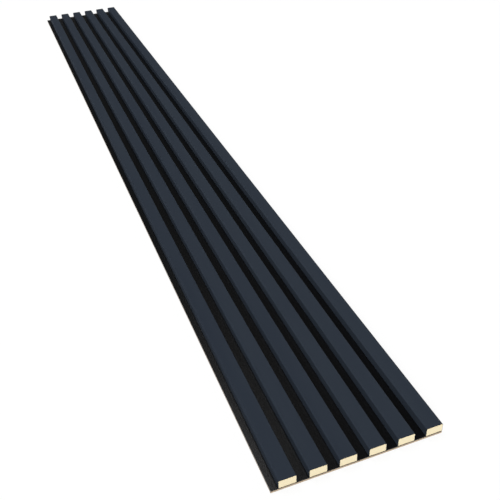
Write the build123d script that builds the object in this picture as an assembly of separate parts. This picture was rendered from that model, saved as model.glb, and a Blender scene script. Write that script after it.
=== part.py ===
from build123d import *
import os

# A slat wall panel lying on its back: foil-wrapped slats glued side by side on a thin backing board.
# X runs across the slats, Y along them and Z away from the wall.
# The origin is the middle of the board's back face. All sizes are in millimetres.

# Driving dimensions of the panel
PANEL_LENGTH = 2600.0
SLAT_COUNT = 6
LIP_WIDTH = 13.0  # bare strip of board beside the first slat
GAP_WIDTH = 21.4  # open groove between two slats

# Driving dimensions of the backing
BOARD_THICKNESS = 3.2  # hard fibreboard, its edges left raw
FILM_THICKNESS = 1.6  # thick black facing film on the board

# Driving dimensions of one slat
SLAT_WIDTH = 30.0  # measured over the foil
CORE_HEIGHT = 16.0  # fibreboard strip inside the foil
CORE_ARRIS_RADIUS = 1.6  # rounding of the strip's two front edges
FOIL_THICKNESS = 0.4  # decor foil round the strip
TUCK_WIDTH = 5.0  # how far the foil is turned in under the strip, from each side

# Sizes that follow
SLAT_PITCH = SLAT_WIDTH + GAP_WIDTH
PANEL_WIDTH = LIP_WIDTH + SLAT_COUNT * SLAT_WIDTH + (SLAT_COUNT - 1) * GAP_WIDTH
CORE_WIDTH = SLAT_WIDTH - 2 * FOIL_THICKNESS
GLUE_WIDTH = CORE_WIDTH - 2 * TUCK_WIDTH

# Heights that follow, from the wall outwards
FILM_BASE = BOARD_THICKNESS
SLAT_BASE = FILM_BASE + FILM_THICKNESS
CORE_BASE = SLAT_BASE + FOIL_THICKNESS

STANDING = (Align.CENTER, Align.MIN)
LYING = (Align.CENTER, Align.CENTER, Align.MIN)


def slat_middle(index):
    """X of the middle of a slat, counted from the bare lip."""
    return LIP_WIDTH + SLAT_WIDTH / 2 + index * SLAT_PITCH - PANEL_WIDTH / 2


def core_section():
    """Section of the fibreboard strip, standing on its back, with its two front edges rounded."""
    blank = Rectangle(CORE_WIDTH, CORE_HEIGHT, align=STANDING)
    front_corners = blank.vertices().group_by(Axis.Y)[-1]
    return fillet(front_corners, CORE_ARRIS_RADIUS)


def glue_section():
    """Section of the glue bed, which fills the space between the foil's two turned-in edges."""
    bed = Rectangle(GLUE_WIDTH, FOIL_THICKNESS, align=STANDING)
    return Pos(Y=-FOIL_THICKNESS) * bed


def wrap_section():
    """Section of the foil: an even skin folded round the strip and left open where the glue grips it."""
    strip = core_section()
    folded = offset(strip, amount=FOIL_THICKNESS, kind=Kind.ARC)
    return folded - strip - glue_section()


def run_along_panel(section):
    """A slat-long piece with the given section, on the panel's middle line."""
    upright = Plane.XZ * section
    piece = extrude(upright, amount=PANEL_LENGTH / 2, both=True)
    return Pos(Z=CORE_BASE) * piece


def backing_board():
    """The sheet that carries the slats."""
    return Box(PANEL_WIDTH, PANEL_LENGTH, BOARD_THICKNESS, align=LYING)


def face_film():
    """The film on the face of the board, seen in the grooves and on the lip."""
    film = Box(PANEL_WIDTH, PANEL_LENGTH, FILM_THICKNESS, align=LYING)
    return Pos(Z=FILM_BASE) * film


def panel_pieces():
    """Every piece of the panel in its place, by name."""
    pieces = {"backing_board": backing_board(), "face_film": face_film()}
    slat_pieces = {
        "slat_core": run_along_panel(core_section()),
        "slat_wrap": run_along_panel(wrap_section()),
        "glue_bed": run_along_panel(glue_section()),
    }
    for index in range(SLAT_COUNT):
        seat = Pos(X=slat_middle(index))
        for name, piece in slat_pieces.items():
            pieces[f"{name}_{index + 1}"] = seat * piece
    return pieces


os.makedirs("parts", exist_ok=True)
for name, piece in panel_pieces().items():
    export_step(piece, os.path.join("parts", f"{name}.step"))
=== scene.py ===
# %% [markdown]
# # A slat wall panel, from bare solids to a finished picture
# The panel lies on its back on a pale floor: six slats in dark foil, glued on a thin board with a black face.
# Its solids are already modelled at their real size, so this lesson never moves or resizes them.
# It looks after what the eye meets: crisp folded foil, sawn pale ends, a satin black face and a raw tan edge.

# %% Load the solids
import math

import bpy
from mathutils import Matrix, Vector


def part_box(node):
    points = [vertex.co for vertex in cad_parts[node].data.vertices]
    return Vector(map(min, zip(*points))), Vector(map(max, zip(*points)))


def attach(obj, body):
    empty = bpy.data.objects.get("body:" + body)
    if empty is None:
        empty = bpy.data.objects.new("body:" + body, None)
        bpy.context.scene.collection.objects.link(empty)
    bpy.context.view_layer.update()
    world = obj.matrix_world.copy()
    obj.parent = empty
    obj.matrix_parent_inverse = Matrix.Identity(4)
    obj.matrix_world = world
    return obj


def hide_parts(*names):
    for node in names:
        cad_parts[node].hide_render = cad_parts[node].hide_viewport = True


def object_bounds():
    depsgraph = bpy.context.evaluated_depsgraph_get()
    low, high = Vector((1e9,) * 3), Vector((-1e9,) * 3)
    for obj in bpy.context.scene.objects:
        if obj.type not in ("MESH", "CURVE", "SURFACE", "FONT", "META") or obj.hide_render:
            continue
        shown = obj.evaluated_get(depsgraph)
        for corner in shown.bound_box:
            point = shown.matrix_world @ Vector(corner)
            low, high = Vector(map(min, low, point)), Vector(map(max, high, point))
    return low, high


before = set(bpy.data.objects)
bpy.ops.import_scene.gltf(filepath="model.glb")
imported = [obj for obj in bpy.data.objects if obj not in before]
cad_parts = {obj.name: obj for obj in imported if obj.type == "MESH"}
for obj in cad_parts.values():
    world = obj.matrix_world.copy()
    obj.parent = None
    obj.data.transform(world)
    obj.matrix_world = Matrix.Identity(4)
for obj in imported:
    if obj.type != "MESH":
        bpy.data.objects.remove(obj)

cad_low, cad_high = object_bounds()
print("solids", sorted(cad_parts))
print("panel size in metres", [round(side, 4) for side in cad_high - cad_low])

# %% [markdown]
# ## Sizes
# Blender works in metres, and a slat is easier to think of in millimetres, so MM turns one into the other.
# Every length that the solids already hold is measured from them. Only one rounding is written here,
# because a box says nothing about how its corners are rounded.

# %% Measure one slat and the spacing of the row
MM = 0.001
ARRIS_RADIUS = 2.0 * MM  # rounding of a slat's two front edges, over the foil

wrap_nodes = sorted(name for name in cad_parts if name.startswith("slat_wrap_"))
core_nodes = sorted(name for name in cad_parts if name.startswith("slat_core_"))
glue_nodes = sorted(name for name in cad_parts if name.startswith("glue_bed_"))

wrap_low, wrap_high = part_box(wrap_nodes[0])
core_low, core_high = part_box(core_nodes[0])
glue_low, glue_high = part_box(glue_nodes[0])
slat_count = len(wrap_nodes)
slat_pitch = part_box(wrap_nodes[1])[0].x - wrap_low.x
slat_length = wrap_high.y - wrap_low.y
foil_thickness = core_low.x - wrap_low.x
print(slat_count, "slats at", round(slat_pitch / MM, 2), "mm, foil", round(foil_thickness / MM, 2), "mm")

# %% [markdown]
# ## Two small helpers
# Colours are chosen as sRGB hex values, the way a colour picker shows them. Shaders count in linear light,
# so one function converts them. A second function adds a node, sets it up and links it in one call.
# It serves shader trees and geometry trees alike.


# %% Helpers for colours and nodes
def linear(hex_colour):
    """Linear RGBA of an sRGB colour written as six hex digits."""
    channels = [int(hex_colour[start:start + 2], 16) / 255 for start in (0, 2, 4)]
    light = [c / 12.92 if c <= 0.04045 else ((c + 0.055) / 1.055) ** 2.4 for c in channels]
    return (*light, 1.0)


def add(tree, kind, inputs=None, **settings):
    """Add a node to a tree, with its settings, and with a value or another node's output on each input."""
    node = tree.nodes.new(kind)
    for name, value in settings.items():
        setattr(node, name, value)
    for socket, value in (inputs or {}).items():
        if isinstance(value, bpy.types.NodeSocket):
            tree.links.new(value, node.inputs[socket])
        else:
            node.inputs[socket].default_value = value
    return node


def cycles_per_metre(millimetres):
    """Texture scale at which one feature of a pattern is this wide."""
    return 1.0 / (millimetres * MM)


def start_material(name):
    """A new material, with its tree and its surface shader."""
    material = bpy.data.materials.new(name)
    material.use_nodes = True
    tree = material.node_tree
    return material, tree, tree.nodes["Principled BSDF"]


print("black", linear("000000"), "white", linear("ffffff"))

# %% [markdown]
# ## The slats' foil
# The foil is a thin polymer sheet, coloured anthracite with a blue cast and pressed between rollers.
# An embossing roller gives it a fine matt grain, so it has no clear reflections and looks even along
# its length. That is why its specular level is close to nothing.
# A flat colour would look like paint. Two close shades drift slowly along the slat instead, as rolled
# sheet does, and a fine grain breaks up the light. The real grain is about a third of a millimetre,
# too fine for the picture, so it is drawn three times as coarse.


# %% Material: decor foil, embossed matt
def decor_foil():
    material, tree, surface = start_material("polymer_decor_foil_embossed_matt")
    place = add(tree, "ShaderNodeTexCoord").outputs["Object"]
    along_slat = add(tree, "ShaderNodeMapping", {"Vector": place, "Scale": (1.0, 0.08, 1.0)})
    drift = add(tree, "ShaderNodeTexNoise", {
        "Vector": along_slat.outputs["Vector"], "Scale": cycles_per_metre(45),
        "Detail": 3.0, "Roughness": 0.55})
    shade = add(tree, "ShaderNodeMix", {
        "Factor": drift.outputs["Fac"], "A": linear("2b323d"), "B": linear("343b44")}, data_type="RGBA")
    grain = add(tree, "ShaderNodeTexNoise", {
        "Vector": place, "Scale": cycles_per_metre(1.0), "Detail": 2.0, "Roughness": 0.6})
    polish = add(tree, "ShaderNodeMapRange", {
        "Value": grain.outputs["Fac"], "From Min": 0.3, "From Max": 0.7, "To Min": 0.52, "To Max": 0.62})
    relief = add(tree, "ShaderNodeBump", {
        "Height": grain.outputs["Fac"], "Strength": 0.25, "Distance": 0.05 * MM})
    tree.links.new(shade.outputs["Result"], surface.inputs["Base Color"])
    tree.links.new(polish.outputs["Result"], surface.inputs["Roughness"])
    tree.links.new(relief.outputs["Normal"], surface.inputs["Normal"])
    surface.inputs["IOR"].default_value = 1.46
    surface.inputs["Specular IOR Level"].default_value = 0.02
    return material


foil_finish = decor_foil()
print("made", foil_finish.name)

# %% [markdown]
# ## The black face of the board
# Between the slats the board carries a thick black polymer film, rolled to a satin face. It is almost black,
# so nearly all that is seen of it is its sheen: brighter on the open lip, and lost in the right-hand grooves.
# The sheen has to come from the shader, so roughness is what matters here. The roller leaves a faint
# pebble in the face, which makes the sheen a little uneven.


# %% Material: black polymer film, rolled satin
def black_film():
    material, tree, surface = start_material("black_polymer_film_rolled_satin")
    place = add(tree, "ShaderNodeTexCoord").outputs["Object"]
    pebble = add(tree, "ShaderNodeTexNoise", {
        "Vector": place, "Scale": cycles_per_metre(1.5), "Detail": 4.0, "Roughness": 0.6})
    shade = add(tree, "ShaderNodeMix", {
        "Factor": pebble.outputs["Fac"], "A": linear("010102"), "B": linear("040506")}, data_type="RGBA")
    polish = add(tree, "ShaderNodeMapRange", {
        "Value": pebble.outputs["Fac"], "From Min": 0.3, "From Max": 0.7, "To Min": 0.182, "To Max": 0.218})
    relief = add(tree, "ShaderNodeBump", {
        "Height": pebble.outputs["Fac"], "Strength": 0.15, "Distance": 0.03 * MM})
    tree.links.new(shade.outputs["Result"], surface.inputs["Base Color"])
    tree.links.new(polish.outputs["Result"], surface.inputs["Roughness"])
    tree.links.new(relief.outputs["Normal"], surface.inputs["Normal"])
    surface.inputs["IOR"].default_value = 1.5
    return material


film_finish = black_film()
print("made", film_finish.name)

# %% [markdown]
# ## The pale core
# Inside the foil is medium density fibreboard. Only its sawn ends are seen, and there it is cream,
# with short fibres lying flat in the sheet, so they show as fine level dashes. Pressing makes the two
# outer skins of the sheet denser and a little browner than the middle. Stretched noise draws the dashes,
# and the height within the core draws the denser skins.


# %% Material: pale fibreboard, sawn
SKIN_DEPTH = 3.0 * MM  # dense layer on each face of the core


def pale_fibreboard():
    material, tree, surface = start_material("medium_density_fibreboard_sawn")
    place = add(tree, "ShaderNodeTexCoord").outputs["Object"]
    lying = add(tree, "ShaderNodeMapping", {"Vector": place, "Scale": (0.22, 0.22, 1.0)})
    fibres = add(tree, "ShaderNodeTexNoise", {
        "Vector": lying.outputs["Vector"], "Scale": cycles_per_metre(0.5), "Detail": 5.0, "Roughness": 0.65})
    fibre_shade = add(tree, "ShaderNodeMix", {
        "Factor": fibres.outputs["Fac"], "A": linear("efdcae"), "B": linear("fff6da")}, data_type="RGBA")
    height = add(tree, "ShaderNodeSeparateXYZ", {"Vector": place})
    middle = (core_low.z + core_high.z) / 2
    half_height = (core_high.z - core_low.z) / 2
    from_middle = add(tree, "ShaderNodeMath", {0: height.outputs["Z"], 1: middle}, operation="SUBTRACT")
    off_middle = add(tree, "ShaderNodeMath", {0: from_middle.outputs["Value"]}, operation="ABSOLUTE")
    skin = add(tree, "ShaderNodeMapRange", {
        "Value": off_middle.outputs["Value"], "From Min": half_height - SKIN_DEPTH, "From Max": half_height,
        "To Min": 0.0, "To Max": 0.35}, interpolation_type="SMOOTHSTEP")
    shade = add(tree, "ShaderNodeMix", {
        "Factor": skin.outputs["Result"], "A": fibre_shade.outputs["Result"], "B": linear("e3c894")},
        data_type="RGBA")
    relief = add(tree, "ShaderNodeBump", {
        "Height": fibres.outputs["Fac"], "Strength": 0.5, "Distance": 0.1 * MM})
    tree.links.new(shade.outputs["Result"], surface.inputs["Base Color"])
    tree.links.new(relief.outputs["Normal"], surface.inputs["Normal"])
    surface.inputs["Roughness"].default_value = 0.85
    surface.inputs["Specular IOR Level"].default_value = 0.2
    return material


core_finish = pale_fibreboard()
print("made", core_finish.name)

# %% [markdown]
# ## The tan board and the glue
# The backing is hard fibreboard, pressed hotter and denser than the core, so it is a shade browner.
# Its back is smooth with a faint mottle, and its raw sawn edge is the thin tan band under the black film.
# The glue is a dark hot melt. It shows only at the ends, as part of the dark line under each pale core.


# %% Materials: hard fibreboard, pressed, and set glue
def hard_fibreboard():
    material, tree, surface = start_material("hard_fibreboard_hot_pressed")
    place = add(tree, "ShaderNodeTexCoord").outputs["Object"]
    mottle = add(tree, "ShaderNodeTexNoise", {
        "Vector": place, "Scale": cycles_per_metre(28), "Detail": 3.0, "Roughness": 0.5})
    cloud = add(tree, "ShaderNodeMix", {
        "Factor": mottle.outputs["Fac"], "A": linear("b39e84"), "B": linear("c3af96")}, data_type="RGBA")
    lying = add(tree, "ShaderNodeMapping", {"Vector": place, "Scale": (0.35, 0.35, 2.0)})
    fibres = add(tree, "ShaderNodeTexNoise", {
        "Vector": lying.outputs["Vector"], "Scale": cycles_per_metre(1.2), "Detail": 5.0, "Roughness": 0.7})
    fleck = add(tree, "ShaderNodeMapRange", {
        "Value": fibres.outputs["Fac"], "From Min": 0.5, "From Max": 0.75, "To Min": 0.0, "To Max": 0.5})
    shade = add(tree, "ShaderNodeMix", {
        "Factor": fleck.outputs["Result"], "A": cloud.outputs["Result"], "B": linear("d4c1a8")},
        data_type="RGBA")
    relief = add(tree, "ShaderNodeBump", {
        "Height": fibres.outputs["Fac"], "Strength": 0.3, "Distance": 0.06 * MM})
    tree.links.new(shade.outputs["Result"], surface.inputs["Base Color"])
    tree.links.new(relief.outputs["Normal"], surface.inputs["Normal"])
    surface.inputs["Roughness"].default_value = 0.62
    surface.inputs["Specular IOR Level"].default_value = 0.35
    return material


def set_glue():
    material, tree, surface = start_material("hot_melt_glue_set")
    place = add(tree, "ShaderNodeTexCoord").outputs["Object"]
    flow = add(tree, "ShaderNodeTexNoise", {
        "Vector": place, "Scale": cycles_per_metre(4), "Detail": 2.0})
    shade = add(tree, "ShaderNodeMix", {
        "Factor": flow.outputs["Fac"], "A": linear("2c251c"), "B": linear("3b3227")}, data_type="RGBA")
    tree.links.new(shade.outputs["Result"], surface.inputs["Base Color"])
    surface.inputs["Roughness"].default_value = 0.4
    return material


board_finish = hard_fibreboard()
glue_finish = set_glue()
print("made", board_finish.name, "and", glue_finish.name)

# %% [markdown]
# ## Folding the foil with Geometry Nodes
# On the real slat one sheet of foil is folded round the core: over the front, down both sides and in
# underneath. It could be modelled once and copied by hand, but a slat is a rule: a section, a length
# and a spacing. So the section is drawn as a closed line through its corners, and a node tree does
# the rest. It rounds the corners, fills the line, stands it up, draws it out along the slat and repeats
# it across the board. Each corner carries its own rounding as an attribute, which the tree reads.


# %% A section: a closed line through corners that know their rounding
def draw_section(name, corners):
    """A closed line in the XY plane. Each corner is across, up and the radius that rounds it."""
    outline = bpy.data.meshes.new(name)
    points = [(across, up, 0.0) for across, up, radius in corners]
    sides = [(start, (start + 1) % len(points)) for start in range(len(points))]
    outline.from_pydata(points, sides, [])
    rounding = outline.attributes.new("corner_radius", "FLOAT", "POINT")
    rounding.data.foreach_set("value", [radius for across, up, radius in corners])
    section = bpy.data.objects.new(name, outline)
    bpy.context.scene.collection.objects.link(section)
    print(name, "has", len(points), "corners")
    return section


# %% The tree that turns a section into a row of slats
WELD_DISTANCE = 0.005 * MM  # joins the near end to the sides drawn out from it
CRISP_ANGLE = math.radians(30)  # an edge that bends more than this stays sharp


def slat_row_tree():
    """Rounds a section, fills it, draws it out along Y and repeats it along X."""
    tree = bpy.data.node_groups.new("row of slats", "GeometryNodeTree")
    kinds = {
        "Section": "NodeSocketGeometry", "Corner Steps": "NodeSocketInt", "Start": "NodeSocketFloat",
        "Length": "NodeSocketFloat", "Slats": "NodeSocketInt", "Pitch": "NodeSocketFloat",
        "Finish": "NodeSocketMaterial"}
    for label, kind in kinds.items():
        tree.interface.new_socket(label, in_out="INPUT", socket_type=kind)
    tree.interface.new_socket("Row", in_out="OUTPUT", socket_type="NodeSocketGeometry")
    given = add(tree, "NodeGroupInput").outputs

    line = add(tree, "GeometryNodeMeshToCurve", {"Mesh": given["Section"]})
    radius = add(tree, "GeometryNodeInputNamedAttribute", {"Name": "corner_radius"}, data_type="FLOAT")
    rounded = add(tree, "GeometryNodeFilletCurve", {
        "Curve": line.outputs["Curve"], "Count": given["Corner Steps"],
        "Radius": radius.outputs["Attribute"]}, mode="POLY")
    flat = add(tree, "GeometryNodeFillCurve", {"Curve": rounded.outputs["Curve"]}, mode="NGONS")
    start = add(tree, "ShaderNodeCombineXYZ", {"Y": given["Start"]})
    near_end = add(tree, "GeometryNodeTransform", {
        "Geometry": flat.outputs["Mesh"], "Rotation": (math.radians(90), 0.0, 0.0),
        "Translation": start.outputs["Vector"]})

    facing_along = add(tree, "GeometryNodeFlipFaces", {"Mesh": near_end.outputs["Geometry"]})
    along = add(tree, "ShaderNodeCombineXYZ", {"Y": given["Length"]})
    drawn_out = add(tree, "GeometryNodeExtrudeMesh", {
        "Mesh": facing_along.outputs["Mesh"], "Offset": along.outputs["Vector"], "Individual": False},
        mode="FACES")
    closed = add(tree, "GeometryNodeJoinGeometry", {"Geometry": drawn_out.outputs["Mesh"]})
    tree.links.new(near_end.outputs["Geometry"], closed.inputs["Geometry"])
    welded = add(tree, "GeometryNodeMergeByDistance", {
        "Geometry": closed.outputs["Geometry"], "Distance": WELD_DISTANCE})

    bend = add(tree, "GeometryNodeInputMeshEdgeAngle")
    crisp = add(tree, "FunctionNodeCompare", {
        "A": bend.outputs["Unsigned Angle"], "B": CRISP_ANGLE}, operation="GREATER_THAN")
    smooth = add(tree, "GeometryNodeSetShadeSmooth", {
        "Geometry": welded.outputs["Geometry"], "Shade Smooth": True}, domain="FACE")
    edged = add(tree, "GeometryNodeSetShadeSmooth", {
        "Geometry": smooth.outputs["Geometry"], "Selection": crisp.outputs["Result"], "Shade Smooth": False},
        domain="EDGE")

    step = add(tree, "ShaderNodeCombineXYZ", {"X": given["Pitch"]})
    places = add(tree, "GeometryNodeMeshLine", {
        "Count": given["Slats"], "Offset": step.outputs["Vector"]}, mode="OFFSET")
    copies = add(tree, "GeometryNodeInstanceOnPoints", {
        "Points": places.outputs["Mesh"], "Instance": edged.outputs["Geometry"]})
    real = add(tree, "GeometryNodeRealizeInstances", {"Geometry": copies.outputs["Instances"]})
    finished = add(tree, "GeometryNodeSetMaterial", {
        "Geometry": real.outputs["Geometry"], "Material": given["Finish"]})
    add(tree, "NodeGroupOutput", {"Row": finished.outputs["Geometry"]})
    return tree


row_tree = slat_row_tree()
print("tree", row_tree.name, "has", len(row_tree.nodes), "nodes")

# %% [markdown]
# ## From a section to plain meshes
# A modifier runs the tree. Its inputs are set by socket identifier before the object is first evaluated.
# After it, a Weighted Normal modifier keeps the wide flats truly flat and lets only the roundings turn
# the light. The evaluated result is then copied to a plain mesh, and the section with its modifiers
# is thrown away.


# %% Run the tree and keep a plain mesh
CORNER_STEPS = 12  # points along each rounding


def make_row(section, name, finish):
    """A plain mesh of the whole row, made from one section."""
    values = {
        "Corner Steps": CORNER_STEPS, "Start": wrap_low.y, "Length": slat_length, "Slats": slat_count,
        "Pitch": slat_pitch, "Finish": finish}
    row = section.modifiers.new("row", "NODES")
    row.node_group = row_tree
    for label, value in values.items():
        row[row_tree.interface.items_tree[label].identifier] = value
    section.modifiers.new("even flats", "WEIGHTED_NORMAL").keep_sharp = True

    ready = section.evaluated_get(bpy.context.evaluated_depsgraph_get())
    mesh = bpy.data.meshes.new_from_object(ready)
    mesh.name = name
    bpy.data.objects.remove(section)
    piece = bpy.data.objects.new(name, mesh)
    bpy.context.scene.collection.objects.link(piece)
    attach(piece, "root")
    print(name, "has", len(mesh.polygons), "faces")
    return piece


core_radius = ARRIS_RADIUS - foil_thickness
fold_radius = foil_thickness  # folded tight round the core's sharp back edges
foil_section = draw_section("foil_section", [
    (glue_high.x, wrap_low.z, 0.0),
    (wrap_high.x, wrap_low.z, fold_radius),
    (wrap_high.x, wrap_high.z, ARRIS_RADIUS),
    (wrap_low.x, wrap_high.z, ARRIS_RADIUS),
    (wrap_low.x, wrap_low.z, fold_radius),
    (glue_low.x, wrap_low.z, 0.0),
    (glue_low.x, core_low.z, 0.0),
    (core_low.x, core_low.z, 0.0),
    (core_low.x, core_high.z, core_radius),
    (core_high.x, core_high.z, core_radius),
    (core_high.x, core_low.z, 0.0),
    (glue_high.x, core_low.z, 0.0),
])
slat_foils = make_row(foil_section, "slat_foils", foil_finish)
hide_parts(*wrap_nodes)

# %% [markdown]
# ## The cores
# A core is a planed strip with its two front edges rounded, so that the foil lies over them without cracking.
# The same tree makes it from a simpler section of four corners.

# %% Make the cores
core_section = draw_section("core_section", [
    (core_low.x, core_low.z, 0.0),
    (core_high.x, core_low.z, 0.0),
    (core_high.x, core_high.z, core_radius),
    (core_low.x, core_high.z, core_radius),
])
slat_cores = make_row(core_section, "slat_cores", core_finish)
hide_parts(*core_nodes)

# %% [markdown]
# ## The flat pieces
# The board, its film and the glue beds are flat sheets with sawn edges, and their solids have the right
# shape. They only need their finishes, which go on the solids' own material slots.

# %% Finish the board, the film and the glue
flat_finishes = {"backing_board": board_finish, "face_film": film_finish}
flat_finishes.update({node: glue_finish for node in glue_nodes})
for node, finish in flat_finishes.items():
    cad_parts[node].material_slots[0].material = finish
print("finished", len(flat_finishes), "flat pieces")

# %% [markdown]
# ## The floor
# The panel lies on a large sheet of white paper. Paper that is lit up to white throws much light on the
# panel's sides. So the paper is drawn grey, and a glow that only the camera and reflections see lifts it
# to white. The glow stops a little short of white. The lamps add the rest, so the panel keeps a soft
# shadow on the floor.


# %% Lay the floor
FLOOR_GLOW = 0.90  # where 1 is white
FLOOR_HALF = 40.0  # metres
FLOOR_DROP = 0.2 * MM  # keeps the paper from sharing a plane with the board's back


def white_paper():
    material, tree, surface = start_material("white_paper_floor")
    ray = add(tree, "ShaderNodeLightPath").outputs
    seen = add(tree, "ShaderNodeMath", {
        0: ray["Is Camera Ray"], 1: ray["Is Glossy Ray"]}, operation="MAXIMUM")
    shown = add(tree, "ShaderNodeMath", {
        0: seen.outputs["Value"], 1: ray["Is Transmission Ray"]}, operation="MAXIMUM")
    glow = add(tree, "ShaderNodeMath", {0: shown.outputs["Value"], 1: FLOOR_GLOW}, operation="MULTIPLY")
    tree.links.new(glow.outputs["Value"], surface.inputs["Emission Strength"])
    surface.inputs["Emission Color"].default_value = linear("ffffff")
    surface.inputs["Base Color"].default_value = linear("606060")
    surface.inputs["Roughness"].default_value = 1.0
    surface.inputs["Specular IOR Level"].default_value = 0.0
    return material


floor_level = cad_low.z - FLOOR_DROP
corner_signs = ((-1, -1), (1, -1), (1, 1), (-1, 1))
floor_corners = [(x * FLOOR_HALF, y * FLOOR_HALF, floor_level) for x, y in corner_signs]
sheet = bpy.data.meshes.new("floor")
sheet.from_pydata(floor_corners, [], [(0, 1, 2, 3)])
sheet.materials.append(white_paper())
floor = bpy.data.objects.new("floor", sheet)
bpy.context.scene.collection.objects.link(floor)
print("floor at", round(floor_level, 5), "m")

# %% [markdown]
# ## Light
# The picture has soft, even light with no clear shadow. Sun lamps with wide discs do that:
# they light the near and the far end of a long panel alike, and their shadows have no hard edge.
# The main one stands low at the front left, so the slats' left walls and the sawn ends are clear.
# A second one stands high behind. The satin film mirrors it on the lip and in the left grooves,
# and in the right grooves the eye looks past it, so they stay black.
# A weak third one, behind on the right, keeps the far ends and the right-hand walls from going dark.


# %% Hang the lamps
def hang_sun(name, strength, width, direction):
    """A sun lamp that shines from the given direction, with a disc of this width in degrees."""
    lamp = bpy.data.lights.new(name, "SUN")
    lamp.energy = strength
    lamp.angle = math.radians(width)
    holder = bpy.data.objects.new(name, lamp)
    holder.rotation_euler = Vector(direction).to_track_quat("Z", "Y").to_euler()
    bpy.context.scene.collection.objects.link(holder)
    print(name, "strength", strength)


hang_sun("front_window", strength=3.43, width=26.0, direction=(-0.366, -0.841, 0.398))
hang_sun("high_softbox", strength=1.38, width=36.0, direction=(-0.16, 0.51, 0.845))
hang_sun("rear_fill", strength=0.85, width=40.0, direction=(0.80, 0.52, 0.30))

# %% [markdown]
# ## The room
# The world stands for the room around the panel. It is plain and dim, so that the lamps shape the panel.
# A dim world would show as a dark sky behind the floor in a low view, so the camera sees it as white as
# the paper. Mirrored rays see that white only near the horizon, where the paper ends, and above it they
# see the dim room. A film that mirrored white on all sides would turn grey, and the grooves of this
# panel are black.

# %% Set the world
ROOM_LEVEL = 0.035  # where 1 is white
HORIZON_TOP = math.sin(math.radians(7))  # height above which mirrored rays meet the dim room

world = bpy.data.worlds.new("dim_room_white_horizon")
world.use_nodes = True
room = world.node_tree
ray = add(room, "ShaderNodeLightPath").outputs
way = add(room, "ShaderNodeSeparateXYZ", {"Vector": add(room, "ShaderNodeTexCoord").outputs["Generated"]})
horizon = add(room, "ShaderNodeMapRange", {
    "Value": way.outputs["Z"], "From Max": HORIZON_TOP, "To Min": 1.0, "To Max": ROOM_LEVEL})
mirrored = add(room, "ShaderNodeMath", {
    0: ray["Is Glossy Ray"], 1: ray["Is Transmission Ray"]}, operation="MAXIMUM")
in_mirrors = add(room, "ShaderNodeMath", {
    0: mirrored.outputs["Value"], 1: horizon.outputs["Result"]}, operation="MULTIPLY")
shown = add(room, "ShaderNodeMath", {
    0: in_mirrors.outputs["Value"], 1: ray["Is Camera Ray"]}, operation="MAXIMUM")
level = add(room, "ShaderNodeMath", {0: shown.outputs["Value"], 1: ROOM_LEVEL}, operation="MAXIMUM")
room.links.new(level.outputs["Value"], room.nodes["Background"].inputs["Strength"])
room.nodes["Background"].inputs["Color"].default_value = linear("ffffff")
bpy.context.scene.world = world
bpy.context.scene.view_settings.view_transform = "Standard"
print("world", world.name, "has", len(room.nodes), "nodes")

# %% [markdown]
# ## Camera
# The view was found by fitting the panel's long edges, its sawn ends and its far end to the picture's lines.
# A plain 50 mm lens fits, with no shift: the camera stands beyond the near end, to the left and above,
# looks down at about 35 degrees and is tipped a little.

# %% Place the camera
CAMERA_LENS = 50.0  # millimetres
FRAME_WIDTH = 36.0  # millimetres
NEAREST_SEEN = 0.01  # metres
CAMERA_PLACE = Vector((-0.3745, -1.9040, 0.9046))
CAMERA_TURN = math.radians(19.20)  # from straight along the panel, towards its right
CAMERA_DIP = math.radians(35.18)  # below the horizon
CAMERA_TIP = math.radians(2.75)  # about the line of sight, so that the camera's right side dips

lens = bpy.data.cameras.new("viewer")
lens.lens = CAMERA_LENS
lens.sensor_width = FRAME_WIDTH
lens.clip_start = NEAREST_SEEN
camera = bpy.data.objects.new("viewer", lens)
aim = Matrix.Rotation(-CAMERA_TURN, 4, "Z") @ Matrix.Rotation(math.radians(90) - CAMERA_DIP, 4, "X")
camera.matrix_world = Matrix.Translation(CAMERA_PLACE) @ aim @ Matrix.Rotation(-CAMERA_TIP, 4, "Z")
bpy.context.scene.collection.objects.link(camera)
bpy.context.scene.camera = camera
print("camera at", [round(part, 3) for part in camera.location])
